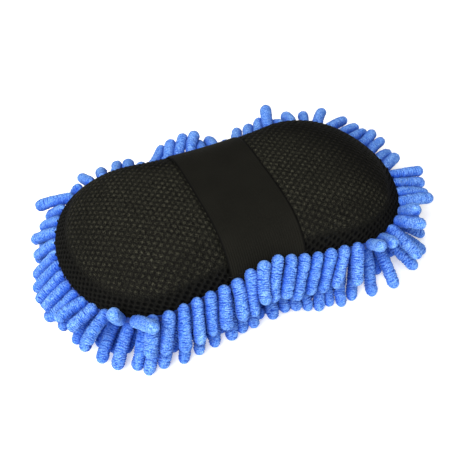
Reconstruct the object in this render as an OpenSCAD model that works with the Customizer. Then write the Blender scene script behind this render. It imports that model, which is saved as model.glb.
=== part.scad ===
// Chenille wash mitt of the pad type: a figure-eight sponge under a black spacer-mesh
// top, a blue chenille underside and an elastic strap that holds the hand on top.
// Millimetres. The origin is on the supporting surface under the middle of the pad.
// +X runs along the pad, +Y away from the user's side, +Z up.

/* [Pad outline] */
// Length of the pad, seam to seam
pad_l = 228; // [224:1:245]
// Width of the pad across each lobe
pad_w = 122; // [121:0.5:128]
// Width of the pad at the waist under the strap
waist_w = 112; // [110:0.5:118]
// Radius of the rounded corners of the lobes
corner_r = 44; // [42:1:48]
// Radius of the blunt arc that closes each end
end_r = 80; // [76:1:90]

/* [Pad height] */
// Height of the mesh dome above the seam
dome_h = 25.5; // [22:0.5:30]
// Length of the ridge along the top of the dome
ridge_l = 22; // [16:2:60]
// Depth of the chenille side wall below the seam
wall_h = 20; // [18:1:22]
// How far the side wall runs in under the pad
wall_run = 24; // [22:1:26]
// Height of the chenille pile under the sole
pile_h = 17; // [17:0.5:18]
// Thickness of the spacer mesh
mesh_t = 2.5; // [1.5:0.1:3]
// Thickness of the cloth that the noodles are tufted into
cloth_t = 2; // [1.5:0.1:2.5]

/* [Strap] */
// Width of the elastic strap
strap_w = 50; // [40:1:60]
// Thickness of the elastic strap
strap_t = 1.6; // [1.2:0.1:2]
// Air gap between the strap and the mesh
strap_gap = 0.6; // [0.4:0.1:1]
// Height above the seam up to which the strap's ends are sewn down
sewn_h = 9; // [8:0.5:10]

/* [Chenille noodles] */
// Diameter of one noodle
noodle_d = 7.3; // [7:0.1:7.3]
// Length of one noodle with its round ends
noodle_l = 28; // [26:0.5:28.5]
// Distance between noodles along a row
noodle_pitch = 8.6; // [8.6:0.1:12]
// Distance between the rows under the sole
row_pitch = 14; // [13.9:0.1:14.1]

/* [Stitching] */
// Diameter of the sewing thread
thread_d = 0.8; // [0.6:0.1:1]
// Distance between the stitches of the seam
seam_pitch = 9; // [6:0.5:12]
// Distance between the stitches across the strap
strap_stitch_pitch = 6; // [4:0.5:8]

/* [Hidden] */
SIDES = ["front", "back", "left", "right"];

// Heights above the supporting surface.
sole_z = pile_h;
seam_z = sole_z + wall_h;

// The outline is made of arcs: one end arc, two corner arcs and half of each waist arc
// to an end, all tangent. Moving the outline in by an inset keeps the arcs' centres.
half_l = pad_l / 2;
half_w = pad_w / 2;
half_waist = waist_w / 2;
end_x = half_l - end_r;
corner_y = half_w - corner_r;
corner_x = end_x + sqrt(pow(end_r - corner_r, 2) - pow(corner_y, 2));
waist_r = (pow(corner_x, 2) + pow(half_waist - corner_y, 2) - pow(corner_r, 2))
    / (2 * (half_w - half_waist));
waist_y = half_waist + waist_r;
end_angle = atan2(corner_y, corner_x - end_x);
corner_angle = atan2(waist_y - corner_y, -corner_x);
arc_steps = 8;

// Profile of the dome: a flattened superellipse from the seam up to the ridge.
dome_run_power = 4;
dome_rise_power = 1.45;
dome_steps = [0, 0.015, 0.05, 0.1, 0.17, 0.26, 0.37, 0.5, 0.65, 0.8, 0.93];
wall_steps = [90, 70, 50, 30, 12, 0];
overshoot = 2;

// Rows of noodles: depth and inset of the side wall follow a quarter ellipse.
sole_spine = half_l - half_w;
upper_row_angle = 15;
lower_row_angle = 48;
sole_angle = 90;
edge_row_inset = 20;
middle_row_inset = edge_row_inset + row_pitch;
inner_row_inset = middle_row_inset + row_pitch;
noodle_r = noodle_d / 2;
noodle_axis = noodle_l - noodle_d;
root_depth = 1.5;
root_out = noodle_r - root_depth;
upper_lean = [42, 62];
lower_lean = [42, 55];
sole_lean = acos((sole_z - root_out - noodle_r) / noodle_axis);
centre_row_half_l = 38;
end_split_x = 72;

stitch_l = 4;
stitch_inset = 1;
strap_stitch_rows = [2.5, 6];

CLOTH_BLUE = [0.27, 0.48, 0.84];
NOODLE_BLUE = [0.34, 0.53, 0.86];
MESH_BLACK = [0.15, 0.15, 0.13];
STRAP_BLACK = [0.1, 0.1, 0.09];
THREAD_BLACK = [0.06, 0.06, 0.06];
FOAM_YELLOW = [0.93, 0.86, 0.55];

// ---- outline and rings ----

function arc(centre, radius, from, to) =
    [for (i = [0:arc_steps - 1])
        let (a = from + (to - from) * i / arc_steps)
        centre + radius * [cos(a), sin(a)]];

// From the tip of the +X end round to just before the waist on the +Y side.
function quarter(inset) = concat(
    arc([end_x, 0], end_r - inset, 0, end_angle),
    arc([corner_x, corner_y], corner_r - inset, end_angle, corner_angle),
    arc([0, waist_y], waist_r + inset, corner_angle - 180, -90)
);

function reversed(points) = [for (i = [len(points) - 1:-1:0]) points[i]];

function outline(inset) =
    let (
        q = quarter(inset),
        waist = [[0, half_waist - inset]],
        back = concat(q, waist, [for (p = reversed(q)) [-p.x, p.y]])
    )
    concat(back, [for (p = reversed(back)) if (abs(p.y) > 0.001) [p.x, -p.y]]);

// Draws an outline in towards a spine on the X axis: 0 leaves it, 1 shrinks it to the spine.
function pulled_in(points, spine, share) =
    [for (p = points)
        let (s = p.x * spine / half_l)
        [s + (1 - share) * (p.x - s), (1 - share) * p.y]];

function at_height(points, z) = [for (p = points) [p.x, p.y, z]];

function dome_rise(share) =
    pow(1 - pow(1 - share, dome_run_power), 1 / dome_rise_power);

function dome_rings(inset) =
    [for (share = dome_steps)
        at_height(
            pulled_in(outline(inset), ridge_l / 2, share),
            seam_z + (dome_h - inset) * dome_rise(share)
        )];

function wall_inset(angle) = wall_run * (1 - cos(angle));
function wall_depth(angle) = wall_h * sin(angle);

function wall_rings(inset) =
    [for (angle = wall_steps)
        at_height(
            pulled_in(outline(inset), sole_spine, wall_inset(angle) / half_w),
            seam_z - (wall_h - inset) * sin(angle)
        )];

// A closed solid through rings of equal point counts, from the lowest to the highest.
module loft(rings) {
    n = len(rings[0]);
    last = len(rings) - 1;
    sides = [
        for (k = [0:last - 1], i = [0:n - 1])
        let (j = (i + 1) % n)
        each [
            [k * n + i, (k + 1) * n + i, (k + 1) * n + j],
            [k * n + i, (k + 1) * n + j, k * n + j]
        ]
    ];
    bottom = [[for (i = [0:n - 1]) i]];
    top = [[for (i = [n - 1:-1:0]) last * n + i]];
    polyhedron([for (ring = rings) each ring], concat(bottom, sides, top));
}

module dome(inset, skirt = 0) {
    rings = dome_rings(inset);
    loft(skirt == 0 ? rings : concat([at_height(rings[0], seam_z - skirt)], rings));
}

module wall(inset, skirt = 0) {
    rings = wall_rings(inset);
    top = rings[len(rings) - 1];
    loft(skirt == 0 ? rings : concat(rings, [at_height(top, seam_z + skirt)]));
}

// ---- the padded body ----

module foam_core() {
    color(FOAM_YELLOW)
        loft(concat(wall_rings(cloth_t), dome_rings(mesh_t)));
}

module mesh_top_panel() {
    color(MESH_BLACK)
        difference() {
            dome(0);
            dome(mesh_t, overshoot);
        }
}

module backing_cloth() {
    color(CLOTH_BLUE)
        difference() {
            wall(0);
            wall(cloth_t, overshoot);
        }
}

// ---- the elastic strap ----

// The band of a shell over the dome that lies between two heights above the seam.
module strap_band(low, high) {
    intersection() {
        difference() {
            dome(-strap_gap - strap_t);
            dome(-strap_gap, overshoot);
        }
        translate([-strap_w / 2, -pad_w, seam_z + low])
            cube([strap_w, 2 * pad_w, high - low]);
    }
}

module strap_span() {
    color(STRAP_BLACK)
        strap_band(sewn_h + strap_gap, 2 * dome_h);
}

module strap_end(side) {
    color(STRAP_BLACK)
        intersection() {
            strap_band(0, sewn_h);
            translate([-strap_w, side > 0 ? 0 : -pad_w, 0])
                cube([2 * strap_w, pad_w, 2 * seam_z]);
        }
}

// ---- stitching ----

module seam_stitches() {
    count = row_count(stitch_inset, seam_pitch);
    color(THREAD_BLACK)
        for (i = [0:count - 1]) {
            place = along(outline(stitch_inset), i / count);
            translate([place.x, place.y, seam_z - stitch_l / 2])
                cylinder(d = thread_d, h = stitch_l, $fn = 16);
        }
}

module strap_stitches(side) {
    reach = floor((strap_w / 2 - thread_d) / strap_stitch_pitch);
    color(THREAD_BLACK)
        for (z = strap_stitch_rows, i = [-reach:reach])
            translate([i * strap_stitch_pitch, side * half_waist, seam_z + z])
                rotate([90, 0, 0])
                    cylinder(d = thread_d, h = stitch_l, center = true, $fn = 16);
}

// ---- chenille noodles ----

function lengths(points) =
    [for (i = [0:len(points) - 1]) norm(points[(i + 1) % len(points)] - points[i])];

function running_total(values, i = 0, total = 0) =
    i == len(values) ? [total] : concat([total], running_total(values, i + 1, total + values[i]));

// The point that lies a given share of the way round a closed outline.
function along(points, share) =
    let (
        stations = running_total(lengths(points)),
        s = (share - floor(share)) * stations[len(points)],
        closed = concat(points, [points[0]])
    )
    [for (axis = [0, 1]) lookup(s, [for (i = [0:len(points)]) [stations[i], closed[i][axis]]])];

// How many pieces fit round an outline, in fours so that each quarter gets as many.
function row_count(inset, pitch) =
    let (stations = running_total(lengths(row_outline(inset))))
    4 * floor(stations[len(stations) - 1] / pitch / 4);

function row_outline(inset) = pulled_in(outline(0), sole_spine, inset / half_w);

// A noodle from the centre of its root end, turned to a heading and tilted by lean from
// straight down.
module noodle(start, heading, lean) {
    translate(start)
        rotate([0, 180 - lean, heading]) {
            cylinder(d = noodle_d, h = noodle_axis, $fn = 32);
            sphere(d = noodle_d, $fn = 32);
            translate([0, 0, noodle_axis])
                sphere(d = noodle_d, $fn = 32);
        }
}

function on_side(p, side) =
    side == "all" ? true
    : side == "left" ? p.x < -end_split_x
    : side == "right" ? p.x > end_split_x
    : abs(p.x) <= end_split_x && (side == "front" ? p.y < 0 : p.y > 0);

// The way that the side wall faces at an angle of its quarter ellipse: [outwards, down].
function wall_facing(angle) =
    let (facing = [wall_h * cos(angle), wall_run * sin(angle)])
    facing / norm(facing);

// One tufted row at an inset from the seam, where the wall has the given angle. The noodles
// are sunk into the cloth by root_depth, and lean outwards from straight down, by lean[0]
// along the sides and by lean[1] at the tips of the two ends.
module noodle_row(inset, angle, lean, stagger, side = "all") {
    points = row_outline(inset);
    count = row_count(inset, noodle_pitch);
    out = root_out * wall_facing(angle);
    color(NOODLE_BLUE)
        for (i = [0:count - 1]) {
            share = (i + stagger) / count;
            root = along(points, share);
            run = along(points, share + 0.002) - along(points, share - 0.002);
            heading = atan2(-run.x, run.y);
            if (on_side(root, side))
                noodle(
                    [
                        root.x + out[0] * cos(heading),
                        root.y + out[0] * sin(heading),
                        seam_z - wall_depth(angle) - out[1]
                    ],
                    heading,
                    lean[0] + (lean[1] - lean[0]) * pow(cos(heading), 2)
                );
        }
}

module noodles_upper(side) {
    noodle_row(wall_inset(upper_row_angle), upper_row_angle, upper_lean, 0.5, side);
}

module noodles_lower(side) {
    noodle_row(wall_inset(lower_row_angle), lower_row_angle, lower_lean, 0, side);
}

module noodles_sole_edge(side) {
    noodle_row(edge_row_inset, sole_angle, [sole_lean, sole_lean], 0.5, side);
}

module noodles_sole_ring(inset, stagger) {
    noodle_row(inset, sole_angle, [sole_lean, sole_lean], stagger);
}

// A single row along the middle of the sole, leaning to the front and back in turn.
module noodles_sole_centre() {
    reach = floor(centre_row_half_l / noodle_pitch);
    color(NOODLE_BLUE)
        for (i = [-reach:reach])
            noodle(
                [i * noodle_pitch, 0, sole_z - root_out],
                i % 2 == 0 ? 90 : -90,
                sole_lean
            );
}

foam_core();
mesh_top_panel();
backing_cloth();
seam_stitches();
strap_span();
strap_end(-1);  // strap_end_front
strap_end(1);  // strap_end_back
strap_stitches(-1);  // strap_stitches_front
strap_stitches(1);  // strap_stitches_back
for (side = SIDES) {
    noodles_upper(side);
    noodles_lower(side);
    noodles_sole_edge(side);
}
noodles_sole_ring(middle_row_inset, 0);  // noodles_sole_middle
noodles_sole_ring(inner_row_inset, 0.5);  // noodles_sole_inner
noodles_sole_centre();
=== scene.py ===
"""Looks of a pad-type chenille wash mitt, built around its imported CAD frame.

Everything is in metres, in the frame of the CAD: +X along the pad, +Y across it and away from
the user, +Z up, with the origin on the floor under the middle of the pad.
"""

import math

import bpy
import numpy as np
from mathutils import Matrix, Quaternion, Vector
from mathutils.bvhtree import BVHTree


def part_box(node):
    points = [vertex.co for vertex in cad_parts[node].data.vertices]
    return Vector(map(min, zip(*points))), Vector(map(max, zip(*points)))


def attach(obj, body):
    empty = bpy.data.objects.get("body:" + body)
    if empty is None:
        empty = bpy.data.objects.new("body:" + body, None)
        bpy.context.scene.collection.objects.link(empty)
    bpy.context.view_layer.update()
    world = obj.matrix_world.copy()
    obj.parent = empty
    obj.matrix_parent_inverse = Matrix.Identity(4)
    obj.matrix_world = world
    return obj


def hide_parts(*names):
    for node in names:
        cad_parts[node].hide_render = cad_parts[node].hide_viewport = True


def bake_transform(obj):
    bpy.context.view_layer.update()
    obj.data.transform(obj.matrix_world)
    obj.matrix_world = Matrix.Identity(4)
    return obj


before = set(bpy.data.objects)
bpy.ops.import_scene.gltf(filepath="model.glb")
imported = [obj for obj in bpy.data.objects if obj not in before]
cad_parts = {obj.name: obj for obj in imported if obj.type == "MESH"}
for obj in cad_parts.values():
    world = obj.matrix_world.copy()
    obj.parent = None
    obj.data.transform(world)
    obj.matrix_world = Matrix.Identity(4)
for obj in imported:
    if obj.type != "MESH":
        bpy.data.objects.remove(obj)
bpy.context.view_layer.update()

MM = 0.001
TAU = 2 * math.pi
SIDES = ("front", "back", "left", "right")

# ---- sizes, from the frame where it holds them ----

panel_low, panel_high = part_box("mesh_top_panel")
sole_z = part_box("backing_cloth")[0].z

HALF_L = panel_high.x
HALF_W = panel_high.y
SEAM_Z = panel_low.z
DOME_H = panel_high.z - SEAM_Z
WALL_H = SEAM_Z - sole_z
STRAP_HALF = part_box("strap_span")[1].x
HALF_WAIST = 56 * MM
CORNER_R = 44 * MM
END_R = 80 * MM
RIDGE_HALF = 11 * MM
WALL_RUN = 24 * MM
SOLE_SPINE = HALF_L - HALF_W
DOME_RUN_POWER = 4
DOME_RISE_POWER = 1.45

# The outline is made of an end arc, a corner arc and a waist arc in each quarter.
END_X = HALF_L - END_R
CORNER_Y = HALF_W - CORNER_R
CORNER_X = END_X + math.sqrt((END_R - CORNER_R) ** 2 - CORNER_Y**2)
WAIST_R = (CORNER_X**2 + (HALF_WAIST - CORNER_Y) ** 2 - CORNER_R**2) / (2 * (HALF_W - HALF_WAIST))
WAIST_Y = HALF_WAIST + WAIST_R
END_ANGLE = math.atan2(CORNER_Y, CORNER_X - END_X)
CORNER_ANGLE = math.atan2(WAIST_Y - CORNER_Y, -CORNER_X)


# ---- the pad's shape ----

SHARE_MAX = 0.99999
SHARE_HALVINGS = 36
WALL_ANGLES = np.radians([90, 80, 70, 60, 50, 40, 30, 20, 10, 3])
DOME_SHARES = np.linspace(0, 0.97, 30) ** 2


def outline_points(per_arc=60):
    """The seam's outline in plan, anticlockwise from the tip of the +X end."""

    def arc(x, y, radius, start, end):
        a = np.linspace(start, end, per_arc, endpoint=False)
        return np.stack([x + radius * np.cos(a), y + radius * np.sin(a)], axis=1)

    quarter = np.concatenate(
        [
            arc(END_X, 0, END_R, 0, END_ANGLE),
            arc(CORNER_X, CORNER_Y, CORNER_R, END_ANGLE, CORNER_ANGLE),
            arc(0, WAIST_Y, WAIST_R, CORNER_ANGLE - math.pi, -math.pi / 2),
        ]
    )
    waist = np.array([[0, HALF_WAIST]])
    half = np.concatenate([quarter, waist, quarter[::-1] * [-1, 1]])
    return np.concatenate([half, half[::-1][1:-1] * [1, -1]])


def outline_y(x):
    """Half the pad's width at a distance x from the middle, or -1 past its end."""
    waist_end = CORNER_X + CORNER_R * math.cos(CORNER_ANGLE)
    corner_end = CORNER_X + CORNER_R * math.cos(END_ANGLE)
    waist = WAIST_Y - np.sqrt(np.maximum(WAIST_R**2 - x**2, 0))
    corner = CORNER_Y + np.sqrt(np.maximum(CORNER_R**2 - (x - CORNER_X) ** 2, 0))
    end = np.sqrt(np.maximum(END_R**2 - (x - END_X) ** 2, 0))
    y = np.where(x < waist_end, waist, np.where(x < corner_end, corner, end))
    return np.where(x > HALF_L, -1, y)


def share_at(x, y, spine):
    """How far in a plan point lies, from 0 at the seam to 1 on the spine; negative outside."""
    x, y, k = np.abs(x), np.abs(y), spine / HALF_L
    low, high = np.full(x.shape, -1.0), np.full(x.shape, SHARE_MAX)
    for _ in range(SHARE_HALVINGS):
        middle = (low + high) / 2
        inside = y / (1 - middle) < outline_y(x / (k + (1 - middle) * (1 - k)))
        low, high = np.where(inside, middle, low), np.where(inside, high, middle)
    return low


def pulled_in(points, spine, share):
    """Outline points drawn in towards a spine on the X axis."""
    keep = 1 - np.asarray(share)
    along_spine = points[..., 0] * spine / HALF_L
    x = along_spine + keep * (points[..., 0] - along_spine)
    return np.stack([x, keep * points[..., 1]], axis=-1)


def dome_rise(share):
    """Height of the dome over the seam, as a share of its full height."""
    run = 1 - np.clip(share, 0, 1)
    return (1 - run**DOME_RUN_POWER) ** (1 / DOME_RISE_POWER)


def wall_place(angle):
    """Inset and depth below the seam of the side wall at an angle of its quarter ellipse."""
    return WALL_RUN * (1 - math.cos(angle)), WALL_H * math.sin(angle)


def level_ring(plan, z):
    """Plan points, all at one height."""
    return np.column_stack([plan, np.full(len(plan), z)])


def pad_rings(outline, inward=0.0):
    """Rings of points up the padded body, from its sole to its ridge, drawn in all over."""
    rings = []
    for angle in WALL_ANGLES:
        inset, depth = wall_place(angle)
        plan = pulled_in(outline, SOLE_SPINE, (inset + inward) / HALF_W)
        rings.append(level_ring(plan, SEAM_Z - depth + inward * math.sin(angle)))
    for share in DOME_SHARES:
        plan = pulled_in(outline, RIDGE_HALF, share + inward * (1 - share) / HALF_W)
        rings.append(level_ring(plan, SEAM_Z + (DOME_H - inward) * dome_rise(share)))
    return rings


def smoothstep(value, low, high):
    """0 below low, 1 above high, with a smooth start and end between."""
    t = np.clip((value - low) / (high - low), 0, 1)
    return t * t * (3 - 2 * t)


# ---- meshes ----


def new_object(name, data):
    """An object in the scene."""
    obj = bpy.data.objects.new(name, data)
    bpy.context.scene.collection.objects.link(obj)
    return obj


def new_mesh(name, points, faces):
    """A smooth-shaded object with one mesh."""
    mesh = bpy.data.meshes.new(name)
    mesh.from_pydata(np.asarray(points).tolist(), [], faces)
    mesh.update()
    mesh.shade_smooth()
    return new_object(name, mesh)


def float_attribute(obj, name, values):
    """A number for each point of a mesh, which its material reads by name."""
    attribute = obj.data.attributes.new(name, "FLOAT", "POINT")
    attribute.data.foreach_set("value", np.asarray(values, np.float32).ravel())


def cloth_uv(obj, uv):
    """A UV map, in metres, from one pair of numbers for each point."""
    layer = obj.data.uv_layers.new(name="cloth")
    corners = np.zeros(len(obj.data.loops), np.int32)
    obj.data.loops.foreach_get("vertex_index", corners)
    layer.data.foreach_set("uv", np.asarray(uv, np.float32)[corners].ravel())


def ring_faces(rings, count, closed_ends=False):
    """Quads between rings of equal point counts, and a face over each end if asked."""
    corners = list(range(count))
    following = corners[1:] + corners[:1]
    faces = [
        [k * count + a, k * count + b, (k + 1) * count + b, (k + 1) * count + a]
        for k in range(rings - 1)
        for a, b in zip(corners, following)
    ]
    if closed_ends:
        faces.append(corners[::-1])
        faces.append([corner + (rings - 1) * count for corner in corners])
    return faces


def grid_normals(points):
    """Unit normals of a grid of points, along its second axis crossed with its first."""
    normal = np.cross(np.gradient(points, axis=1), np.gradient(points, axis=0))
    return normal / (np.linalg.norm(normal, axis=-1, keepdims=True) + 1e-12)


def turned_frames(tangent):
    """Two directions across each curve that turn as little as possible along it."""
    helper = np.where(np.abs(tangent[:, 0, 2:]) < 0.9, [[0, 0, 1.0]], [[1.0, 0, 0]])
    side = np.cross(tangent[:, 0], helper)
    sides = []
    for k in range(tangent.shape[1]):
        side = side - (side * tangent[:, k]).sum(-1, keepdims=True) * tangent[:, k]
        side /= np.linalg.norm(side, axis=-1, keepdims=True)
        sides.append(side)
    sides = np.stack(sides, axis=1)
    return sides, np.cross(tangent, sides)


def ring_directions(tangent, around):
    """Unit vectors across each curve, at angles round it."""
    side, other = turned_frames(tangent)
    return np.cos(around)[:, None] * side[:, :, None] + np.sin(around)[:, None] * other[:, :, None]


# ---- materials ----

# The spacer mesh has two staggered sets of cells, with beads on the dome and holes on the walls.
CELL_U = 6.1 * MM
CELL_V = 4.7 * MM
CELL_SHIFTS = (0.0, 0.5)
HOLE_R = 1.2 * MM
BEAD_R = 2.0 * MM
WEFT_PITCH = 0.8 * MM
WARP_PITCH = 0.78 * MM
EDGE_SHADOW = (1.4 * MM, 0.4 * MM)
NO_LIGHT = (0.0003, 0.0003, 0.0003, 1)


class Nodes:
    """A material and a short way to add and join its nodes."""

    def __init__(self, name):
        self.material = bpy.data.materials.new(name)
        self.material.use_nodes = True
        self.tree = self.material.node_tree
        self.shader = self.tree.nodes["Principled BSDF"]

    def add(self, kind, inputs=(), **settings):
        node = self.tree.nodes.new("ShaderNode" + kind)
        for key, value in settings.items():
            setattr(node, key, value)
        for key, value in dict(inputs).items():
            if isinstance(value, bpy.types.NodeSocket):
                self.tree.links.new(value, node.inputs[key])
            else:
                node.inputs[key].default_value = value
        return node

    def math(self, operation, a, b=0.0):
        return self.add("Math", {0: a, 1: b}, operation=operation).outputs[0]

    def times(self, a, b):
        return self.math("MULTIPLY", a, b)

    def vector(self, operation, a, b=(0, 0, 0)):
        return self.add("VectorMath", {0: a, 1: b}, operation=operation).outputs

    def mix(self, factor, a, b):
        return self.add("Mix", {0: factor, 6: a, 7: b}, data_type="RGBA").outputs[2]

    def place(self):
        return self.add("TexCoord").outputs["Object"]

    def cloth_place(self):
        return self.add("UVMap", uv_map="cloth").outputs[0]

    def noise(self, scale, detail):
        return self.add("TexNoise", {"Vector": self.place(), "Scale": scale, "Detail": detail}).outputs[0]

    def attribute(self, name):
        return self.add("Attribute", attribute_name=name).outputs["Fac"]

    def ramp(self, factor, low, high):
        """0 at low and 1 at high, straight between, and the same beyond them."""
        return self.add("MapRange", {"Value": factor, "From Min": low, "From Max": high}).outputs[0]

    def bump(self, height, distance, strength):
        return self.add("Bump", {"Height": height, "Distance": distance, "Strength": strength}).outputs[0]

    def finish(self, color, roughness, normal=None, specular=0.25, sheen=0.0, tint=(1, 1, 1, 1)):
        shader = self.shader.inputs
        for key, value in (("Base Color", color), ("Roughness", roughness), ("Normal", normal)):
            if isinstance(value, bpy.types.NodeSocket):
                self.tree.links.new(value, shader[key])
            elif value is not None:
                shader[key].default_value = value
        shader["Specular IOR Level"].default_value = specular
        shader["Sheen Weight"].default_value = sheen
        shader["Sheen Roughness"].default_value = 0.45
        shader["Sheen Tint"].default_value = tint
        return self.material


def nearest_cell(m):
    """Distance from the middle of the nearest mesh cell, as cell_distance works it out."""
    uv = m.cloth_place()
    distances = []
    for shift in CELL_SHIFTS:
        offset = (shift + 0.5, shift + 0.5, 0)
        mapping = {"Vector": uv, "Scale": (1 / CELL_U, 1 / CELL_V, 1), "Location": offset}
        cells = m.add("Mapping", mapping).outputs[0]
        inside = m.vector("FRACTION", cells)[0]
        centred = m.vector("SUBTRACT", inside, (0.5, 0.5, 0))[0]
        sized = m.vector("MULTIPLY", centred, (CELL_U, CELL_V, 0))[0]
        distances.append(m.vector("LENGTH", sized)["Value"])
    return m.math("MINIMUM", *distances)


def spacer_mesh_material():
    """Black knitted spacer mesh: puffed cells on the top and holes pulled open on the walls, with painted
    highlights on the cells and painted shade in the holes, on the walls and on slopes away from the light.
    """
    m = Nodes("spacer_mesh")
    distance = nearest_cell(m)
    opened = m.attribute("open")
    hole = m.times(m.ramp(distance, 1.25 * HOLE_R, 0.75 * HOLE_R), opened)
    # Painted highlights: a bright spot in each cell on the dome, and fine glints over the cells and the
    # ground between them.
    highlight = m.ramp(distance, 0.8 * BEAD_R, 0.25 * BEAD_R)
    bead = m.times(highlight, m.math("SUBTRACT", 1.0, opened))
    fibres = m.noise(1700, 3.0)
    patches = m.noise(55, 2.0)
    glint = m.ramp(fibres, 0.46, 0.62)
    ground = m.mix(glint, (0.001, 0.001, 0.0008, 1), (0.021, 0.0206, 0.0152, 1))
    lit = m.mix(glint, (0.0075, 0.0074, 0.0053, 1), (0.066, 0.064, 0.0435, 1))
    thread = m.mix(bead, ground, lit)
    wear = m.times(m.ramp(patches, 0.35, 0.7), 0.4)
    worn = m.mix(wear, thread, (0.0085, 0.0083, 0.0062, 1))
    # Painted shade: the mesh is darker on the walls, where its holes are pulled open.
    wall_shaded = m.mix(m.times(opened, 0.6), worn, (0.0048, 0.0047, 0.0041, 1))
    holed = m.mix(hole, wall_shaded, NO_LIGHT)
    # Painted shade on slopes that face away from the light, and a little on all slopes.
    slope_shade = m.times(m.attribute("slope_shade"), 0.75)
    color = m.mix(slope_shade, holed, (0.0008, 0.0008, 0.0008, 1))
    return m.finish(color, 0.75, m.bump(fibres, 0.4 * MM, 0.9), specular=0.05)


def elastic_material():
    """Black ribbed elastic webbing, with painted shadow along its two edges."""
    m = Nodes("elastic_webbing")
    across, along = m.add("SeparateXYZ", {0: m.cloth_place()}).outputs[:2]
    weft = m.math("SINE", m.times(along, TAU / WEFT_PITCH))
    warp = m.math("SINE", m.times(across, TAU / WARP_PITCH))
    weave = m.times(weft, warp)
    fibres = m.noise(2200, 2.0)
    patches = m.noise(45, 2.0)
    base = m.mix(m.ramp(fibres, 0.3, 0.8), (0.004, 0.0038, 0.0028, 1), (0.0092, 0.0088, 0.0064, 1))
    wear = m.times(m.ramp(patches, 0.35, 0.7), 0.5)
    worn = m.mix(wear, base, (0.009, 0.0086, 0.0064, 1))
    from_middle = m.math("ABSOLUTE", across)
    # Painted shadow: the last millimetre or so along each edge is darker, where the strap stands off the
    # mesh.
    edge_shadow = m.ramp(from_middle, STRAP_HALF - EDGE_SHADOW[0], STRAP_HALF - EDGE_SHADOW[1])
    color = m.mix(m.times(edge_shadow, 0.8), worn, (0.001, 0.001, 0.001, 1))
    height = m.math("ADD", m.times(weave, 0.5), fibres)
    return m.finish(color, 0.8, m.bump(height, 0.12 * MM, 0.6), specular=0.06)


def chenille_material():
    """Blue microfibre chenille: a lit nap, with painted shade, deeper blue, in its creases and down in the
    pile.
    """
    m = Nodes("chenille")
    nap = m.noise(1400, 3.0)
    mottle = m.noise(380, 2.0)
    fleck = m.math("ADD", m.times(nap, 0.8), m.times(mottle, 0.2))
    light = m.mix(m.ramp(fleck, 0.38, 0.64), (0.026, 0.14, 0.57, 1), (0.305, 0.54, 0.95, 1))
    dyed = m.times(m.attribute("tint"), 0.3)
    toned = m.mix(dyed, light, (0.035, 0.15, 0.56, 1))
    # Painted shade: deeper, more saturated blue where the pile closes the skin in, read from the depth
    # attribute.
    deep = m.mix(m.attribute("depth"), toned, (0.004, 0.054, 0.48, 1))
    # Painted shade in the creases of the crimp, which are also dented into the skin.
    crease = m.times(m.attribute("crease"), 0.95)
    color = m.mix(crease, deep, (0.003, 0.03, 0.34, 1))
    normal = m.bump(nap, 0.6 * MM, 0.9)
    return m.finish(color, 0.95, normal, specular=0.0, sheen=0.2, tint=(0.4, 0.7, 1, 1))


def backing_material():
    """Blue knitted cloth that the noodles are tufted into."""
    m = Nodes("backing_fabric")
    fibres = m.noise(1500, 3.0)
    color = m.mix(m.ramp(fibres, 0.3, 0.7), (0.006, 0.028, 0.18, 1), (0.018, 0.06, 0.3, 1))
    return m.finish(color, 0.95, m.bump(fibres, 0.3 * MM, 0.8), specular=0.1, sheen=0.1)


def thread_material():
    """Black polyester sewing thread."""
    m = Nodes("sewing_thread")
    fibres = m.noise(4000, 2.0)
    color = m.mix(fibres, (0.003, 0.003, 0.003, 1), (0.01, 0.01, 0.009, 1))
    return m.finish(color, 0.7, m.bump(fibres, 0.05 * MM, 0.6), specular=0.08)


def foam_material():
    """Open-cell polyurethane sponge."""
    m = Nodes("foam")
    cells = m.add("TexVoronoi", {"Vector": m.place(), "Scale": 700.0}).outputs["Distance"]
    color = m.mix(cells, (0.55, 0.46, 0.22, 1), (0.85, 0.76, 0.45, 1))
    return m.finish(color, 0.95, m.bump(cells, 0.6 * MM, 0.8), specular=0.15)


# ---- camera, floor and light ----

FLOOR_HALF = 3.0


def make_camera():
    """The photograph's view: from the front left, 45 degrees above the floor."""
    turn, tilt, roll = math.radians(23.9), math.radians(44.95), math.radians(-0.46)
    distance = 483 * MM
    forward = Vector((math.sin(turn) * math.cos(tilt), math.cos(turn) * math.cos(tilt), -math.sin(tilt)))
    data = bpy.data.cameras.new("camera")
    data.lens = 56.3
    data.sensor_width = 36
    data.shift_x = 0.0138
    data.shift_y = -0.0571
    data.clip_start = 0.01
    camera = new_object("camera", data)
    camera.location = Vector((0, 0, SEAM_Z)) - forward * distance
    camera.rotation_mode = "QUATERNION"
    camera.rotation_quaternion = forward.to_track_quat("-Z", "Y") @ Quaternion((0, 0, 1), roll)
    bpy.context.scene.camera = camera


def area_light(name, place, size, power):
    """A soft round light that faces the pad."""
    data = bpy.data.lights.new(name, "AREA")
    data.shape = "DISK"
    data.size = size
    data.energy = power
    lamp = new_object(name, data)
    lamp.location = place
    lamp.rotation_mode = "QUATERNION"
    lamp.rotation_quaternion = (Vector((0, 0, SEAM_Z)) - Vector(place)).to_track_quat("-Z", "Y")


def floor_material():
    """Plain pale floor that glows a little, so that the shadows on it stay light."""
    m = Nodes("floor")
    grain = m.noise(30, 2.0)
    color = m.mix(grain, (0.9, 0.9, 0.9, 1), (0.93, 0.93, 0.93, 1))
    m.shader.inputs["Emission Color"].default_value = (1, 1, 1, 1)
    m.shader.inputs["Emission Strength"].default_value = 0.3
    return m.finish(color, 0.9)


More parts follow.
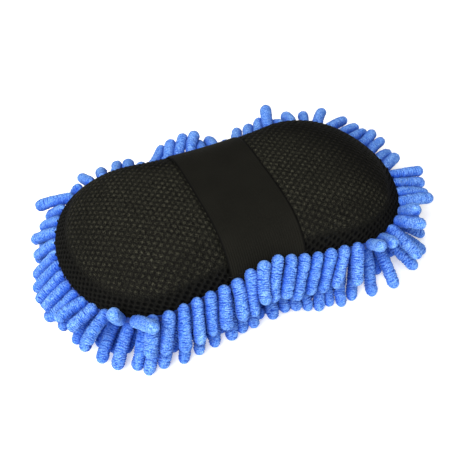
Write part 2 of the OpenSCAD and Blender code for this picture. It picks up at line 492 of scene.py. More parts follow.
def make_studio():
    """A pale floor, a white surround and two large soft lights."""
    corners = [(x * FLOOR_HALF, y * FLOOR_HALF, 0) for x, y in ((-1, -1), (1, -1), (1, 1), (-1, 1))]
    floor = new_mesh("floor", corners, [(0, 1, 2, 3)])
    floor.data.materials.append(floor_material())
    world = bpy.data.worlds.new("studio")
    world.use_nodes = True
    background = world.node_tree.nodes["Background"]
    background.inputs["Color"].default_value = (1, 1, 1, 1)
    background.inputs["Strength"].default_value = 0.34
    bpy.context.scene.world = world
    area_light("key", place=(-0.58, -0.5, 0.92), size=1.0, power=24)
    area_light("fill", place=(0.7, -0.9, 0.6), size=0.8, power=1.2)
    bpy.context.scene.view_settings.view_transform = "Standard"


# ---- the black top ----

GRID_STEP = 0.62 * MM
HEM = 3 * MM
HEM_DROP = 0.6
BEAD_H = 0.5 * MM
HOLE_DEPTH = 0.9 * MM
PRESSED = 0.8 * MM

# How far from the seam the mesh's holes are fully open, and how far up they are closed.
OPEN_WALL = (9 * MM, 17 * MM)

# Painted shade: the mesh is darker on slopes that face this way, away from the light, and a little on all
# slopes.
SHADED_WAY = np.array([0.85, 0.6, 0])
SLOPE_SHADE = 0.4


def dome_section():
    """Two matching lists: the flat cloth's share in from the seam, and the dome's share."""
    share = np.linspace(0, 1, 4000) ** 2
    y, z = HALF_W * (1 - share), DOME_H * dome_rise(share)
    run = np.concatenate([[0], np.cumsum(np.hypot(np.diff(y), np.diff(z)))])
    return 1 - (run[-1] - run) / HALF_W, share


def flat_grid(seam_share):
    """Places on the flat cloth: u along the pad and v across it, from its middle."""
    reach_u, reach_v = HALF_L * (1 - seam_share), HALF_W * (1 - seam_share) + 2 * HEM
    u = np.linspace(-reach_u, reach_u, int(2 * reach_u / GRID_STEP))
    v = np.linspace(-reach_v, reach_v, int(2 * reach_v / GRID_STEP))
    return np.meshgrid(u, v)


def used_part(kept):
    """The used points of a grid, and its faces with a kept corner, by the used points' numbers."""
    cells = kept[:-1, :-1] | kept[1:, :-1] | kept[:-1, 1:] | kept[1:, 1:]
    rows, columns = np.nonzero(cells)
    corners = ((rows, columns), (rows, columns + 1), (rows + 1, columns + 1), (rows + 1, columns))
    used = np.zeros(kept.shape, bool)
    for corner in corners:
        used[corner] = True
    index = np.full(kept.shape, -1)
    index[used] = np.arange(used.sum())
    return used, np.stack([index[corner] for corner in corners], axis=1)


def cell_distance(u, v):
    """Distance from the middle of the nearest mesh cell. Cells stand in staggered rows."""
    distances = []
    for shift in CELL_SHIFTS:
        du = u / CELL_U - shift
        dv = v / CELL_V - shift
        distances.append(np.hypot((du - np.round(du)) * CELL_U, (dv - np.round(dv)) * CELL_V))
    return np.minimum(*distances)


def mesh_relief(distance, opened, x):
    """How far the mesh stands out: beads on the dome, pits on the walls, lower under the strap."""
    bead = BEAD_H * np.cos(np.clip(distance / BEAD_R, 0, 1) * math.pi / 2) ** 2
    hole = HOLE_DEPTH * smoothstep(-distance, -1.4 * HOLE_R, -0.6 * HOLE_R)
    pressed = PRESSED * smoothstep(-np.abs(x), -STRAP_HALF - 3 * MM, -STRAP_HALF + MM)
    return bead * (1 - opened) - hole * opened - pressed


def painted_slope_shade(normal):
    """How much painted shade the mesh gets, from 0 to 1, by the way that it faces."""
    slope = SLOPE_SHADE * smoothstep(1 - normal[..., 2], 0.005, 0.1)
    return np.maximum(slope, smoothstep(normal @ SHADED_WAY, -0.02, 0.28))


def make_top_panel(material):
    """The mesh is a flat cut drawn over the dome, so its cells keep their size on the walls."""
    flat_share, dome_share = dome_section()
    seam_share = flat_share[0]
    cut = seam_share - HEM / HALF_W
    u, v = flat_grid(seam_share)
    flat = share_at(u, v, RIDGE_HALF)
    used, faces = used_part(flat > cut)
    k = RIDGE_HALF / HALF_L
    seam = np.stack([u / (k + (1 - flat) * (1 - k)), v / (1 - flat), np.full(u.shape, SEAM_Z)], axis=-1)
    flat_in = np.maximum(flat, cut)
    share = np.interp(flat_in, flat_share, dome_share)
    tuck = np.maximum(seam_share - flat_in, 0) * HALF_W
    plan = pulled_in(seam, RIDGE_HALF, share + tuck / HALF_W)
    z = SEAM_Z + DOME_H * dome_rise(share) - HEM_DROP * tuck
    points = np.concatenate([plan, z[..., None]], axis=-1)
    normal = grid_normals(points)
    opened = 1 - smoothstep(np.linalg.norm(points - seam, axis=-1), *OPEN_WALL)
    relief = mesh_relief(cell_distance(u, v), opened, plan[..., 0])
    points += normal * np.where(tuck > 0, 0, relief)[..., None]
    panel = new_mesh("spacer_mesh_top", points[used], faces.tolist())
    cloth_uv(panel, np.stack([u[used], v[used]], axis=1))
    float_attribute(panel, "open", opened[used])
    float_attribute(panel, "slope_shade", painted_slope_shade(normal)[used])
    panel.data.materials.append(material)
    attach(panel, "pad")
    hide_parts("mesh_top_panel")


# ---- the strap ----

STRAP_T = 1.4 * MM
STRAP_RISE = 1.1 * MM
STRAP_ROWS = 161
RIB_PITCH = 1.56 * MM
RIB_H = 0.15 * MM
RIB_COLUMNS = 6

# The strap thins over its last millimetre to either side, more from above than from below.
EDGE_RUN = 1.0 * MM
EDGE_FALL = 0.45 * MM
EDGE_LIFT = 0.3 * MM


def dome_z(x, y):
    """Height of the dome's plain surface over a plan point."""
    return SEAM_Z + DOME_H * dome_rise(share_at(x, y, RIDGE_HALF))


def strap_faces(grid):
    """Faces of a closed strap whose top points have the numbers in grid, before its bottom ones."""
    quads = np.stack([grid[:-1, :-1], grid[:-1, 1:], grid[1:, 1:], grid[1:, :-1]], axis=-1).reshape(-1, 4)
    under = grid.size + quads[:, ::-1]
    rim = np.concatenate([grid[0, :], grid[1:, -1], grid[-1, -2::-1], grid[-2:0:-1, 0]])
    after = np.roll(rim, -1)
    walls = np.stack([rim, rim + grid.size, after + grid.size, after], axis=1)
    return np.concatenate([quads, under, walls]).tolist()


def make_strap(material):
    """One length of ribbed elastic over the dome, from seam to seam."""
    columns = int(round(2 * STRAP_HALF / (RIB_PITCH / RIB_COLUMNS)))
    across = np.linspace(-STRAP_HALF, STRAP_HALF, columns + 1)
    station = np.sin(np.linspace(-1, 1, STRAP_ROWS) * math.pi / 2)
    x = np.broadcast_to(across, (STRAP_ROWS, columns + 1))
    y = station[:, None] * outline_y(np.abs(across))[None] * 0.9999
    base = np.stack([x, y, dome_z(x, y)], axis=-1)
    normal = grid_normals(base)
    on_slopes = 0.25 + 0.75 * smoothstep(-normal[..., 2], -0.95, -0.6)
    rib = RIB_H * np.cos(x / RIB_PITCH * TAU) * on_slopes
    edge = smoothstep(np.abs(x), STRAP_HALF - EDGE_RUN, STRAP_HALF)
    top = base + normal * (STRAP_RISE + rib - EDGE_FALL * edge)[..., None]
    bottom = base + normal * (STRAP_RISE - STRAP_T + EDGE_LIFT * edge)[..., None]
    run = np.concatenate([[0], np.cumsum(np.linalg.norm(np.diff(top[:, columns // 2], axis=0), axis=1))])
    points = np.concatenate([top.reshape(-1, 3), bottom.reshape(-1, 3)])
    strap = new_mesh("elastic_strap", points, strap_faces(np.arange(x.size).reshape(x.shape)))
    uv = np.stack([x, np.broadcast_to(run[:, None], x.shape)], axis=-1).reshape(-1, 2)
    cloth_uv(strap, np.concatenate([uv, uv]))
    strap.data.materials.append(material)
    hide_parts("strap_span", "strap_end_front", "strap_end_back")
    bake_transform(strap)


# ---- the chenille's rows ----

NOODLE_R = 3.9 * MM
NOODLE_L = 28 * MM
LOWER_L = 30.5 * MM
NOODLE_PITCH = 8.6 * MM
ROW_PITCH = 14 * MM
MIDDLE_INSET = 34 * MM
CENTRE_HALF = 38 * MM
END_SPLIT = 72 * MM
LOWER_ANGLE = math.radians(44)
EDGE_ANGLE = math.radians(68)
SOLE_ANGLE = math.radians(90)
SOLE_LEAN = 58
SIDED_ROWS = ("noodles_upper", "noodles_lower", "noodles_sole_edge")
DRIFT_LENGTH = 40 * MM
DRIFT_WAVES = 5

# Where the upper row's roots stand above the seam, or below it.
BACK_RISE = 3 * MM
STRAP_ROOTS_RISE = 9 * MM
END_DROP = 4 * MM
LEFT_DROP = 4 * MM
END_TUCK = 1.5 * MM

# Locks of the upper row, anticlockwise from the +X tip: how many noodles, their lean from straight
# down and their turn from straight out, in degrees. They were chosen one by one.
LOCKS = (
    (1, 66, 34), (1, 72, 34), (2, 74, 5), (1, 76, -4), (1, 78, -15), (1, 80, -5), (1, 70, -10),
    (1, 65, 4), (1, 60, -8), (1, 90, -29), (1, 76, -32), (2, 70, -36), (1, 30, 0), (2, 68, -18),
    (2, 96, -16), (2, 88, -33), (1, 58, -18), (1, 62, -18), (1, 68, -4), (2, 64, -10), (1, 25, 0),
    (1, 78, 20), (1, 52, -18), (1, 50, -34), (1, 52, -24), (1, 48, -18), (1, 43, -8), (1, 48, -2),
    (1, 50, 4), (2, 60, -2), (2, 66, -20), (1, 82, -14), (1, 154, -5), (1, 108, 75), (1, 44, -22),
    (1, 42, -34), (1, 42, -42), (2, 42, -26), (2, 42, -14), (1, 42, -24), (4, 44, -36), (3, 42, -36),
    (1, 44, -26), (1, 142, -22), (1, 130, -38), (1, 68, 5), (1, 128, -23), (1, 138, -60), (1, 84, 34),
    (1, 72, 12), (1, 76, 20), (1, 85, 0), (1, 74, 42),
)


def ring_points(inset, depth, angle, stagger, pitch=NOODLE_PITCH):
    """Equally spaced places round the pad, the way that the cloth faces there, and its heading."""
    ring = pulled_in(outline_points(), SOLE_SPINE, inset / HALF_W)
    closed = np.concatenate([ring, ring[:1]])
    run = np.concatenate([[0], np.cumsum(np.linalg.norm(np.diff(closed, axis=0), axis=1))])
    count = 4 * int(run[-1] / pitch / 4)
    at = (np.arange(count) + stagger) / count * run[-1]
    ahead, behind = (at + MM) % run[-1], (at - MM) % run[-1]
    x, y = (np.interp(at, run, closed[:, axis]) for axis in (0, 1))
    dx, dy = (np.interp(ahead, run, c) - np.interp(behind, run, c) for c in closed.T)
    heading = np.arctan2(-dx, dy)
    facing = np.array([WALL_H * math.cos(angle), WALL_RUN * math.sin(angle)])
    facing /= np.linalg.norm(facing)
    places = np.stack([x, y, np.full(count, SEAM_Z - depth)], axis=1)
    sideways = facing[0] * np.stack([np.cos(heading), np.sin(heading)], axis=1)
    return places, np.column_stack([sideways, np.full(count, -facing[1])]), heading


def drift(places, seed):
    """A smooth random number from about -1 to 1 that changes slowly from place to place."""
    rng = np.random.default_rng(seed)
    total = np.zeros(len(places))
    for _ in range(DRIFT_WAVES):
        wave = rng.normal(0, TAU / DRIFT_LENGTH / 2, 2)
        total += np.sin(places[:, :2] @ wave + rng.uniform(0, TAU))
    return total / 2.2


def directions(lean, heading):
    """Unit vectors at a lean from straight down, towards a heading."""
    sideways = np.sin(lean)[:, None] * np.stack([np.cos(heading), np.sin(heading)], axis=1)
    return np.column_stack([sideways, -np.cos(lean)])


def near_side(places):
    """1 on the near long side of the pad, the front, and 0 away from it."""
    return smoothstep(-places[:, 1], 20 * MM, 50 * MM)


def near_corner(places, end):
    """1 round the near corner of the pad's left end, -1, or right end, 1, and 0 away from it."""
    return smoothstep(end * places[:, 0], 60 * MM, 95 * MM) * smoothstep(-places[:, 1], -5 * MM, 25 * MM)


def bell(x, middle, width):
    """1 at the middle, falling to 0 to both sides."""
    return np.exp(-(((x - middle) / width) ** 2))


def noodle_lengths(name, places):
    """Lengths along a row. The lower row's show most under the near corners, least at the waist."""
    if name not in ("noodles_upper", "noodles_lower"):
        return np.full(len(places), NOODLE_L)
    left, right = near_corner(places, -1), near_corner(places, 1)
    if name == "noodles_upper":
        return NOODLE_L - 4 * MM * left
    near = near_side(places)
    waist = bell(places[:, 0], 5 * MM, 28 * MM)
    return LOWER_L + 2.5 * MM * near - 6 * MM * near * waist - 3 * MM * left + MM * right


def new_row(name, places, out, way):
    """Where a row's noodles leave the cloth, the way it faces and the way each noodle sets out."""
    return {"name": name, "places": places, "out": out, "way": way, "length": noodle_lengths(name, places)}


def upper_row():
    """The row at the seam. Its noodles stand over the mesh on the near side, most at the strap."""
    rng = np.random.default_rng(11)
    places, out, heading = ring_points(0, 0, 0, 0.5)
    end = np.cos(heading) ** 2
    near = near_side(places)
    strap = bell(places[:, 0], 1 * MM, 18 * MM)
    left = smoothstep(-places[:, 0], 60 * MM, 100 * MM) * end
    rise = BACK_RISE * (1 - near) + STRAP_ROOTS_RISE * strap * near
    places[:, 2] += rise - (END_DROP + LEFT_DROP * left) * end * (1 - near)
    places -= out * (END_TUCK * end)[:, None]
    counts, lean, turn = np.array(LOCKS).T
    lean = np.radians(np.repeat(lean, counts) + rng.normal(0, 4, len(places)))
    turn = np.radians(np.repeat(turn, counts) + rng.normal(0, 5, len(places)))
    return new_row("noodles_upper", places, out, directions(lean, heading + turn))


def lower_row(name, place, angle, lean, stagger, seed, loose):
    """A row under the upper one. Its lean is given on the long sides and on the ends."""
    rng = np.random.default_rng(seed)
    places, out, heading = ring_points(*place, angle, stagger)
    end = np.cos(heading) ** 2
    count = len(places)
    lean = np.radians(lean[0] + (lean[1] - lean[0]) * end + 16 * near_corner(places, 1))
    turn = np.radians(-22) * near_side(places)
    lean = lean + loose * (0.16 * drift(places, seed + 1) + rng.normal(0, 0.09, count))
    turn = turn + loose * (0.3 * drift(places, seed + 2) + rng.normal(0, 0.14, count))
    return new_row(name, places, out, directions(lean, heading + turn))


def centre_row():
    """The short row along the middle of the sole. Its noodles lean to both sides in turn."""
    reach = int(CENTRE_HALF / NOODLE_PITCH)
    number = np.arange(-reach, reach + 1)
    count = len(number)
    places = np.stack([number * NOODLE_PITCH, np.zeros(count), np.full(count, sole_z)], axis=1)
    heading = np.where(np.arange(count) % 2 == reach % 2, 1, -1) * math.pi / 2
    way = directions(np.full(count, math.radians(SOLE_LEAN)), heading)
    return new_row("noodles_sole_centre", places, np.broadcast_to([0, 0, -1.0], places.shape), way)


def noodle_rows():
    """Every row of noodles, from the seam to the middle of the sole."""
    lower, edge = wall_place(LOWER_ANGLE), wall_place(EDGE_ANGLE)
    middle, inner = (MIDDLE_INSET, WALL_H), (MIDDLE_INSET + ROW_PITCH, WALL_H)
    sole_lean = (SOLE_LEAN, SOLE_LEAN)
    return [
        upper_row(),
        lower_row("noodles_lower", lower, LOWER_ANGLE, (45, 64), stagger=0.0, seed=21, loose=0.8),
        lower_row("noodles_sole_edge", edge, EDGE_ANGLE, (64, 68), stagger=0.5, seed=31, loose=0.8),
        lower_row("noodles_sole_middle", middle, SOLE_ANGLE, sole_lean, stagger=0.0, seed=41, loose=0.6),
        lower_row("noodles_sole_inner", inner, SOLE_ANGLE, sole_lean, stagger=0.5, seed=51, loose=0.6),
        centre_row(),
    ]


def row_groups(row):
    """The nodes that a row's noodles belong to, and which noodles each has."""
    if row["name"] not in SIDED_ROWS:
        return [(row["name"], np.arange(len(row["places"])))]
    x, y = row["places"][:, 0], row["places"][:, 1]
    end = np.where(x < 0, "left", "right")
    side = np.where(np.abs(x) > END_SPLIT, end, np.where(y < 0, "front", "back"))
    return [(f"{row['name']}_{name}", np.nonzero(side == name)[0]) for name in SIDES]


# ---- how the noodles lie ----

LINKS = 7
ROOT_SUNK = 1.5 * MM
FLOOR_GAP = 1.1 * MM
BLOCK = 400

# The simulation: how far apart two noodles' middles stay, how much of an overlap a step pushes
# apart, and how much of a bend the root and the other links take back.
SETTLE_STEPS = 120
PAIRS_EVERY = 6
PAIRS_MARGIN = 2 * MM
CURL = 0.03 * MM
DROOP = 0.006 * MM
TOUCH = 1.94 * NOODLE_R
PUSH = 0.25
ROOT_STIFF = 0.7
LINK_STIFF = 0.3


def pad_tree():
    """The padded body's surface, which the noodles lie against."""
    outline = outline_points(24)
    rings = pad_rings(outline)
    faces = ring_faces(len(rings), len(outline), closed_ends=True)
    return BVHTree.FromPolygons(np.concatenate(rings).tolist(), faces)


def close_pairs(points, owner, reach):
    """Every pair of points of different noodles within reach of each other."""
    first, second = [], []
    for start in range(0, len(points), BLOCK):
        gap = points[start : start + BLOCK, None] - points[None]
        i, j = np.nonzero((gap**2).sum(-1) < reach**2)
        i += start
        keep = (i < j) & (owner[i] != owner[j])
        first.append(i[keep])
        second.append(j[keep])
    return np.concatenate(first), np.concatenate(second)


def push_apart(points, first, second):
    """Moves pairs of links that are too close away from each other."""
    gap = points[first] - points[second]
    away = np.linalg.norm(gap, axis=1) + 1e-9
    move = gap * (np.maximum(TOUCH - away, 0) / away * PUSH)[:, None]
    for axis in range(3):
        points[:, axis] += np.bincount(first, move[:, axis], len(points))
        points[:, axis] -= np.bincount(second, move[:, axis], len(points))


def keep_outside(points, free, tree):
    """Moves free links that are in the pad or the floor out of it."""
    for i in free:
        found, facing, _, _ = tree.find_nearest(points[i].tolist(), 2 * NOODLE_R)
        if found is None:
            continue
        depth = NOODLE_R - (Vector(points[i].tolist()) - found).dot(facing)
        if depth > 0:
            points[i] += np.array(facing) * depth
    points[:, 2] = np.maximum(points[:, 2], NOODLE_R + FLOOR_GAP)


def restore_links(chain, way, link):
    """Springs each chain back towards straight and its links to their spacing."""
    for k in range(1, LINKS + 1):
        if k == 1:
            straight, stiff = chain[:, 0] + way * link, ROOT_STIFF
        else:
            straight, stiff = 2 * chain[:, k - 1] - chain[:, k - 2], LINK_STIFF
        bent = chain[:, k] + stiff * (straight - chain[:, k])
        run = bent - chain[:, k - 1]
        chain[:, k] = chain[:, k - 1] + run / np.linalg.norm(run, axis=1, keepdims=True) * link


def settle(places, out, way, length):
    """Lets the noodles droop, lie on each other and on the floor, and keep off the pad.

    Each noodle is a chain of round links. Every step bends the links down a little, pushes
    touching links apart, springs them back towards straight and restores the links' spacing.
    """
    rng = np.random.default_rng(5)
    count = len(places)
    link = ((length - 2 * NOODLE_R) / LINKS * rng.uniform(0.94, 1.06, count))[:, None]
    start = places + out * (NOODLE_R - ROOT_SUNK)
    steps_out = np.arange(LINKS + 1)
    chain = start[:, None] + way[:, None] * link[..., None] * steps_out[:, None]
    curl = rng.normal(0, CURL, (count, 1, 3)) * [1, 1, 0.4]
    owner = np.repeat(np.arange(count), LINKS + 1)
    free = np.nonzero(np.arange(count * (LINKS + 1)) % (LINKS + 1))[0]
    tree = pad_tree()
    for step in range(SETTLE_STEPS):
        chain = chain + curl * steps_out[:, None] / LINKS
        chain[:, :, 2] -= DROOP * steps_out
        points = chain.reshape(-1, 3)
        if step % PAIRS_EVERY == 0:
            first, second = close_pairs(points, owner, 2 * NOODLE_R + PAIRS_MARGIN)
        push_apart(points, first, second)
        keep_outside(points, free, tree)
        chain = points.reshape(count, LINKS + 1, 3)
        chain[:, 0] = start
        restore_links(chain, way, link)
    return chain


# ---- the noodles' skins ----

RING_STEP = 0.3 * MM
AROUND = 26
CAP_RINGS = 8
TIP = 0.02 * MM
CRIMP_PITCH = 1.4 * MM
CRIMP_DEPTH = 0.7 * MM
CRIMP_TILT = 0.9
CRIMP_WANDER = 3.6
LUMP = 0.2 * MM
FUZZ = 0.12 * MM
# The pile's painted shade: how many rings it is worked out at, how far the pile reaches and how strong it
# is.
SHADE_RINGS = 10
SHADE_REACH = 6 * MM
SHADE_GAIN = 1.6


def noodle_stations():
    """Distances along a noodle at which it gets a ring of points, closer on its round ends."""
    cap = NOODLE_R * (1 - np.cos(np.linspace(0.12, 1, CAP_RINGS) * math.pi / 2))
    middle = np.linspace(NOODLE_R, NOODLE_L - NOODLE_R, int((NOODLE_L - 2 * NOODLE_R) / RING_STEP))
    return np.concatenate([cap[:-1], middle, NOODLE_L - cap[::-1][1:]])


def curve_through(chain, at):
    """Places along each chain's smooth curve, run on straight past both ends, and its heading.

    The places are distances along a noodle of the usual length, and stretch with the chain.
    """
    link = (NOODLE_L - 2 * NOODLE_R) / LINKS
    before = 2 * chain[:, :1] - chain[:, 1:2]
    after = 2 * chain[:, -1:] - chain[:, -2:-1]
    ends = np.concatenate([before, chain, after], axis=1)
    where = np.clip((at - NOODLE_R) / link, 0, LINKS - 1e-6)
    k = where.astype(int)
    t = (where - k)[None, :, None]
    a, b, c, d = (ends[:, k + i] for i in range(4))
    square, cube = 2 * a - 5 * b + 4 * c - d, 3 * b - a - 3 * c + d
    curve = 0.5 * (2 * b + (c - a) * t + square * t**2 + cube * t**3)
    over = (at - np.clip(at, NOODLE_R, NOODLE_L - NOODLE_R))[None, :, None]
    first = (chain[:, 1] - chain[:, 0])[:, None]
    last = (chain[:, -1] - chain[:, -2])[:, None]
    curve = curve + np.where(over < 0, first, last) / link * over
    tangent = np.gradient(curve, axis=1)
    return curve, tangent / np.linalg.norm(tangent, axis=-1, keepdims=True)


def blending(places, cells, wrapped):
    """A matrix that spreads values on a few cells smoothly over many places from 0 to 1."""
    where = places * cells
    k = np.floor(where).astype(int)
    t = smoothstep(where - k, 0, 1)
    spread = np.zeros((len(places), cells if wrapped else cells + 2))
    last = k + 1
    if wrapped:
        k, last = k % cells, last % cells
    rows = np.arange(len(places))
    np.add.at(spread, (rows, k), 1 - t)
    np.add.at(spread, (rows, last), t)
    return spread


def lumps(rng, count, rings, cells_along, cells_around):
    """Smooth random numbers over the skins of many noodles."""
    along = blending(np.linspace(0, 1, rings), cells_along, False)
    around = blending(np.arange(AROUND) / AROUND, cells_around, True)
    values = rng.uniform(-1, 1, (count, along.shape[1], around.shape[1]))
    return np.einsum("ri,nij,aj->nra", along, values, around)


def noodle_skins(rng, count, at, around):
    """The skins' radius at each ring and angle, and how deep in a crease they are, 0 to 1."""
    rings = len(at)
    along = at[None, :, None]
    from_end = np.minimum(np.minimum(at, NOODLE_L - at) / NOODLE_R, 1)
    profile = np.sqrt(1 - (1 - from_end) ** 2)[None, :, None]
    girth = NOODLE_R * rng.uniform(0.93, 1.05, (count, 1, 1))
    waves = rng.uniform(0, TAU, (3, count, 1, 1))
    tilt = CRIMP_TILT * np.sin(around + waves[0] + along / (7 * MM))
    wander = tilt + CRIMP_WANDER * lumps(rng, count, rings, 13, 10)
    phase = along / CRIMP_PITCH * TAU + waves[1] + wander
    strength = np.clip(0.75 + 1.0 * lumps(rng, count, rings, 24, 12), 0, 1)
    crease = (0.5 + 0.5 * np.cos(phase)) ** 2 * strength * smoothstep(profile, 0.2, 0.9)
    swell = LUMP * lumps(rng, count, rings, 9, 4) + LUMP * np.sin(along / (9 * MM) + waves[2])
    fuzz = rng.normal(0, FUZZ, (count, rings, AROUND))
    return (girth + swell + fuzz) * profile - CRIMP_DEPTH * crease, crease


def noodle_faces(count, rings):
    """Faces of many noodles. Each has its rings of points first, then the tips of its two ends."""
    skin = rings * AROUND
    i = np.arange(AROUND)
    j = (i + 1) % AROUND
    root_cap = np.stack([j, i, np.full(AROUND, skin)], axis=1)
    far_cap = np.stack([i + skin - AROUND, j + skin - AROUND, np.full(AROUND, skin + 1)], axis=1)
    offset = (np.arange(count) * (skin + 2))[:, None, None]
    quads = (np.array(ring_faces(rings, AROUND))[None] + offset).reshape(-1, 4)
    caps = (np.concatenate([root_cap, far_cap])[None] + offset).reshape(-1, 3)
    return quads.tolist() + caps.tolist()


def pile_blockers(chain):
    """Points on the pad and in the noodles, which keep light from the gaps between noodles."""
    pad = np.concatenate(pad_rings(outline_points(6))[::3])
    return np.concatenate([chain.reshape(-1, 3), pad]).astype(np.float32)


def pile_shade(curve, ring, blockers):
    """How far each part of the noodles' skin is closed in by the pile, from 0 to 1, for painted shade.

    It is worked out for a few places along and around each noodle and spread over the rest.
    """
    count, rings = curve.shape[:2]
    chosen = np.linspace(0, rings - 1, SHADE_RINGS).astype(int)
    facing = ring[:, chosen][:, :, ::2].reshape(-1, 3)
    skin = np.repeat(curve[:, chosen], AROUND // 2, axis=1).reshape(-1, 3) + NOODLE_R * facing
    skin, facing = skin.astype(np.float32), facing.astype(np.float32)
    closed = []
    for start in range(0, len(skin), BLOCK):
        here, way = skin[start : start + BLOCK], facing[start : start + BLOCK]
        spread = np.abs(here - here.mean(0)).max()
        near = np.abs(blockers - here.mean(0)).max(-1) < spread + 3 * SHADE_REACH
        gap = blockers[near][None] - here[:, None]
        away = (gap**2).sum(-1)
        ahead = np.maximum((gap * way[:, None]).sum(-1), 0)
        closed.append((ahead / (np.sqrt(away) + MM) / (away / SHADE_REACH**2 + 1) ** 2).sum(-1))
    depth = 1 - np.exp(-SHADE_GAIN * np.concatenate(closed))
    depth = depth.reshape(count, SHADE_RINGS, AROUND // 2)
    along = np.array([np.interp(np.arange(rings), chosen, row) for row in np.eye(SHADE_RINGS)])
    depth = np.einsum("kr,nka->nra", along, depth)
    between = (depth + np.roll(depth, -1, axis=2)) / 2
    return np.stack([depth, between], axis=-1).reshape(count, rings, AROUND)


def noodle_mesh(name, chain, seed, blockers, material):
    """One piece of many noodles: crimped, felted tubes with round ends."""
    rng = np.random.default_rng(seed)
    count = len(chain)
    at = noodle_stations()
    around = np.arange(AROUND) / AROUND * TAU
    curve, tangent = curve_through(chain, at)
    ring = ring_directions(tangent, around)
    radius, crease = noodle_skins(rng, count, at, around)
    skins = curve[:, :, None] + ring * radius[..., None]
    tips = np.stack([curve[:, 0] - tangent[:, 0] * TIP, curve[:, -1] + tangent[:, -1] * TIP], axis=1)
    points = np.concatenate([skins.reshape(count, -1, 3), tips], axis=1)
    noodles = new_mesh(name, points.reshape(-1, 3), noodle_faces(count, len(at)))
    # The depth attribute carries the pile's painted shade; crease also paints shade in the creases.
    for key, values in (("crease", crease), ("depth", pile_shade(curve, ring, blockers))):
        float_attribute(noodles, key, np.pad(values.reshape(count, -1), ((0, 0), (0, 2))))
    float_attribute(noodles, "tint", np.repeat(rng.uniform(0, 1, count), points.shape[1]))
    noodles.data.materials.append(material)
    return noodles


def make_chenille(material):
    """Every row of noodles, settled together, then one piece for each CAD node."""
    rows = noodle_rows()
    joined = [np.concatenate([row[key] for row in rows]) for key in ("places", "out", "way", "length")]
    chain = settle(*joined)
    blockers = pile_blockers(chain)
    done = 0
    for number, row in enumerate(rows):
        part = chain[done : done + len(row["places"])]
        done += len(part)
        for k, (node, members) in enumerate(row_groups(row)):
            seed = 100 * number + k
            piece = noodle_mesh("chenille_" + node, part[members], seed, blockers, material)
            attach(piece, "pad")
            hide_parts(node)


# ---- the cloth and the sponge under the chenille ----

CLOTH_T = 1.2 * MM
KNIT_PITCH = 1.5 * MM
KNIT_H = 0.12 * MM
SPONGE_IN = 3 * MM
SPONGE_ROUGH = 0.25 * MM


def backing_layer(outline, inward):
    """Rings of points down the side wall and in over the sole, for one face of the cloth."""
    rings = []
    for angle in np.linspace(0, math.pi / 2, 50):
        inset, depth = wall_place(angle)
        plan = pulled_in(outline, SOLE_SPINE, (inset + inward * math.cos(angle)) / HALF_W)
        rings.append(level_ring(plan, SEAM_Z - depth + inward * math.sin(angle)))
    for share in np.linspace(WALL_RUN / HALF_W, 0.99, 80)[1:]:
        rings.append(level_ring(pulled_in(outline, SOLE_SPINE, share), sole_z + inward))
    return np.array(rings)


def make_backing(material):
    """The knitted cloth of the side wall and the sole, between the noodles' roots."""
    outline = outline_points(120)
    outer, inner = backing_layer(outline, 0), backing_layer(outline, CLOTH_T)
    stitch = np.sin(outer[..., 0] / KNIT_PITCH * TAU) * np.sin(outer[..., 1] / KNIT_PITCH * TAU)
    outer[:, :, 2] += KNIT_H * stitch
    rows, count = outer.shape[:2]
    size = rows * count
    skin = np.array(ring_faces(rows, count))[:, ::-1]
    lining = size + skin[:, ::-1]
    i = np.arange(count)
    j = (i + 1) % count
    hem = np.stack([i, j, j + size, i + size], axis=1)
    last = i + size - count
    middle = [last[::-1].tolist(), (last + size).tolist()]
    faces = np.concatenate([skin, lining, hem]).tolist() + middle
    points = np.concatenate([outer.reshape(-1, 3), inner.reshape(-1, 3)])
    cloth = new_mesh("chenille_backing", points, faces)
    cloth.data.materials.append(material)
    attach(cloth, "pad")
    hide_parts("backing_cloth")


def make_sponge(material):
    """The foam core, hidden under the two cloths."""
    rng = np.random.default_rng(71)
    outline = outline_points()
    rings = pad_rings(outline, SPONGE_IN)
    points = np.concatenate(rings) + rng.normal(0, SPONGE_ROUGH, (len(rings) * len(outline), 3))
    sponge = new_mesh("foam_sponge", points, ring_faces(len(rings), len(outline), closed_ends=True))
    sponge.data.materials.append(material)
    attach(sponge, "pad")
    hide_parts("foam_core")


# ---- the stitches ----

THREAD_R = 0.4 * MM
THREAD_SIDES = 12
PLY_TWIST = 2.4 * MM
PLY_GROOVE = 0.28
SEAM_PITCH = 9 * MM
SEAM_REACH = 2.2 * MM
SEAM_SLANT = 0.35
SEAM_ARCH = 0.8 * MM
SEAM_SUNK = 0.4 * MM
STRAP_STITCH_PITCH = 6 * MM
STRAP_STITCH_HALF = 1.9 * MM
STRAP_STITCH_ROWS = (2.5 * MM, 6 * MM)
STRAP_STITCH_ARCH = 0.9 * MM
STRAP_STITCH_SUNK = 0.6 * MM
STITCH_STEPS = np.linspace(-1, 1, 25) * math.pi / 2


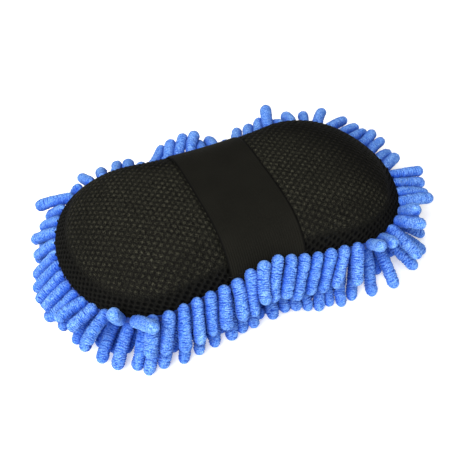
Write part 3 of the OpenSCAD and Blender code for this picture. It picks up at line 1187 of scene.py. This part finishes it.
def thread_piece(name, node, paths, material):
    """Stitches along smooth paths, as tubes of two twisted plies."""
    count, rings = paths.shape[:2]
    tangent = np.gradient(paths, axis=1)
    tangent /= np.linalg.norm(tangent, axis=-1, keepdims=True)
    around = np.arange(THREAD_SIDES) / THREAD_SIDES * TAU
    run = np.cumsum(np.linalg.norm(np.diff(paths, axis=1, prepend=paths[:, :1]), axis=-1), axis=1)
    plies = np.abs(np.cos(around - run[..., None] / PLY_TWIST * TAU / 2))
    radius = THREAD_R * (1 - PLY_GROOVE + PLY_GROOVE * plies)
    points = paths[:, :, None] + ring_directions(tangent, around) * radius[..., None]
    stitch = ring_faces(rings, THREAD_SIDES, closed_ends=True)
    starts = range(0, count * rings * THREAD_SIDES, rings * THREAD_SIDES)
    faces = [[start + corner for corner in face] for start in starts for face in stitch]
    piece = new_mesh(name, points.reshape(-1, 3), faces)
    piece.data.materials.append(material)
    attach(piece, "pad")
    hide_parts(node)


def make_seam_stitches(material):
    """Slanted stitches over the seam, from the backing cloth up to the mesh."""
    places, out, heading = ring_points(0, 0, 0, 0, SEAM_PITCH)
    beside = np.stack([-np.sin(heading), np.cos(heading), np.zeros(len(heading))], axis=1)
    up = SEAM_REACH * np.sin(STITCH_STEPS)
    outward = SEAM_ARCH * np.cos(STITCH_STEPS) - SEAM_SUNK
    paths = (
        places[:, None]
        + [0, 0, 1] * up[None, :, None]
        + out[:, None] * outward[None, :, None]
        + beside[:, None] * SEAM_SLANT * up[None, :, None]
    )
    thread_piece("seam_thread", "seam_stitches", paths, material)


def make_strap_stitches(side, sign, material):
    """Two rows of running stitches that hold one end of the strap to the seam."""
    reach = int((STRAP_HALF - 2 * THREAD_R) / STRAP_STITCH_PITCH)
    paths = []
    for height in STRAP_STITCH_ROWS:
        share = 1 - (1 - (height / DOME_H) ** DOME_RISE_POWER) ** (1 / DOME_RUN_POWER)
        for number in range(-reach, reach + 1):
            x = number * STRAP_STITCH_PITCH + STRAP_STITCH_HALF * np.sin(STITCH_STEPS)
            y = outline_y(np.abs(x)) - share * HALF_WAIST + STRAP_RISE
            y += STRAP_STITCH_ARCH * np.cos(STITCH_STEPS) - STRAP_STITCH_SUNK
            paths.append(np.stack([x, sign * y, np.full(len(x), SEAM_Z + height)], axis=1))
    thread_piece("strap_thread_" + side, "strap_stitches_" + side, np.array(paths), material)


make_camera()
make_studio()
make_top_panel(spacer_mesh_material())
make_strap(elastic_material())
make_backing(backing_material())
make_chenille(chenille_material())
make_sponge(foam_material())
thread = thread_material()
make_seam_stitches(thread)
make_strap_stitches("front", -1, thread)
make_strap_stitches("back", 1, thread)
